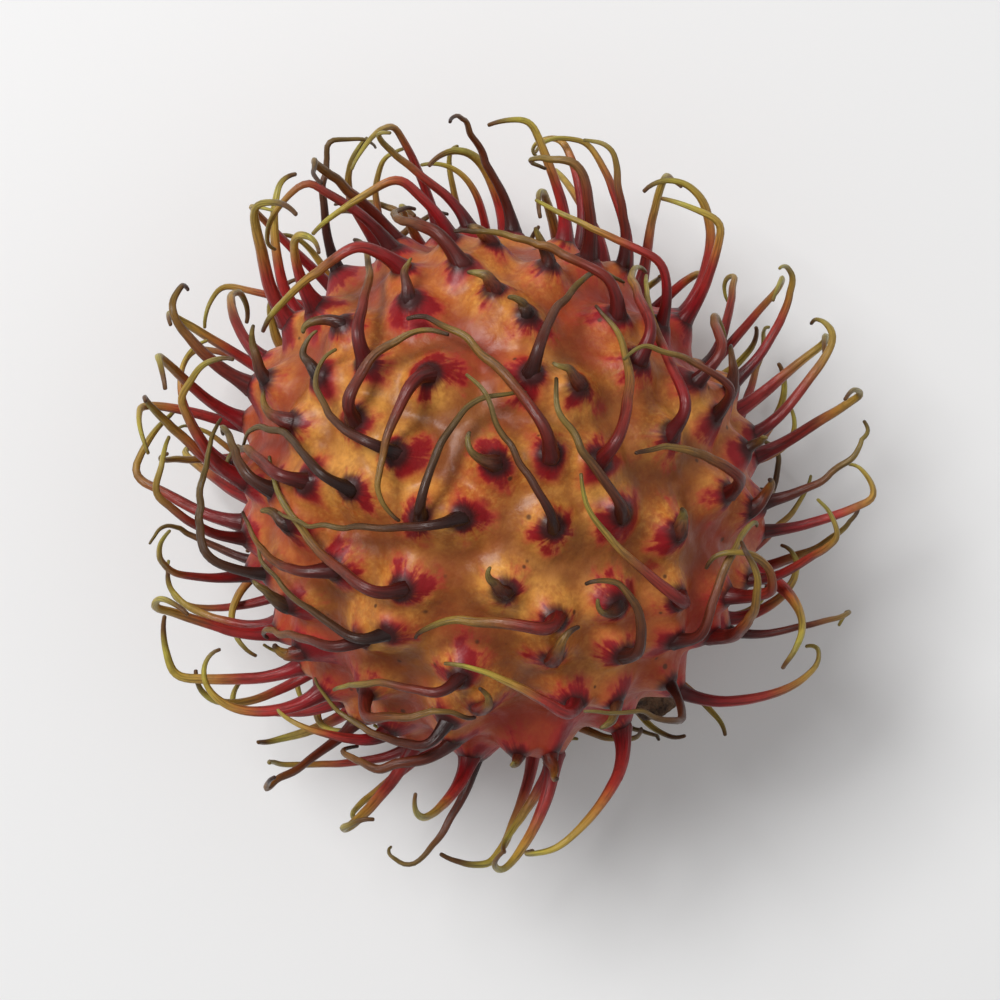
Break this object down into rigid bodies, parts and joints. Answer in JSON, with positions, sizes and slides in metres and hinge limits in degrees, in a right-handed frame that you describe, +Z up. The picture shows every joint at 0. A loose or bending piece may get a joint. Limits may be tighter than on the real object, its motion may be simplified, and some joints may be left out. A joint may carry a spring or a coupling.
{
  "type": "rambutan",
  "caption": "Rambutan fruit lying on its side: an ovoid leathery skin with raised cushions, soft hooked spines all round and a short cut stalk.",
  "frame": {"origin": "middle of the small flat spot on the skin that the fruit rests on", "axes": "+Z up from the surface; +Y runs along the fruit, seen from above, from the stalk to the far end"},
  "size_m": [0.0626, 0.0618, 0.0421],
  "materials": {
    "skin": "satin, waxy",
    "stalk": "dry bark"
  },
  "bodies": {
    "root": {"fruit": "skin", "stalk": "stalk"}
  },
  "joints": []
}
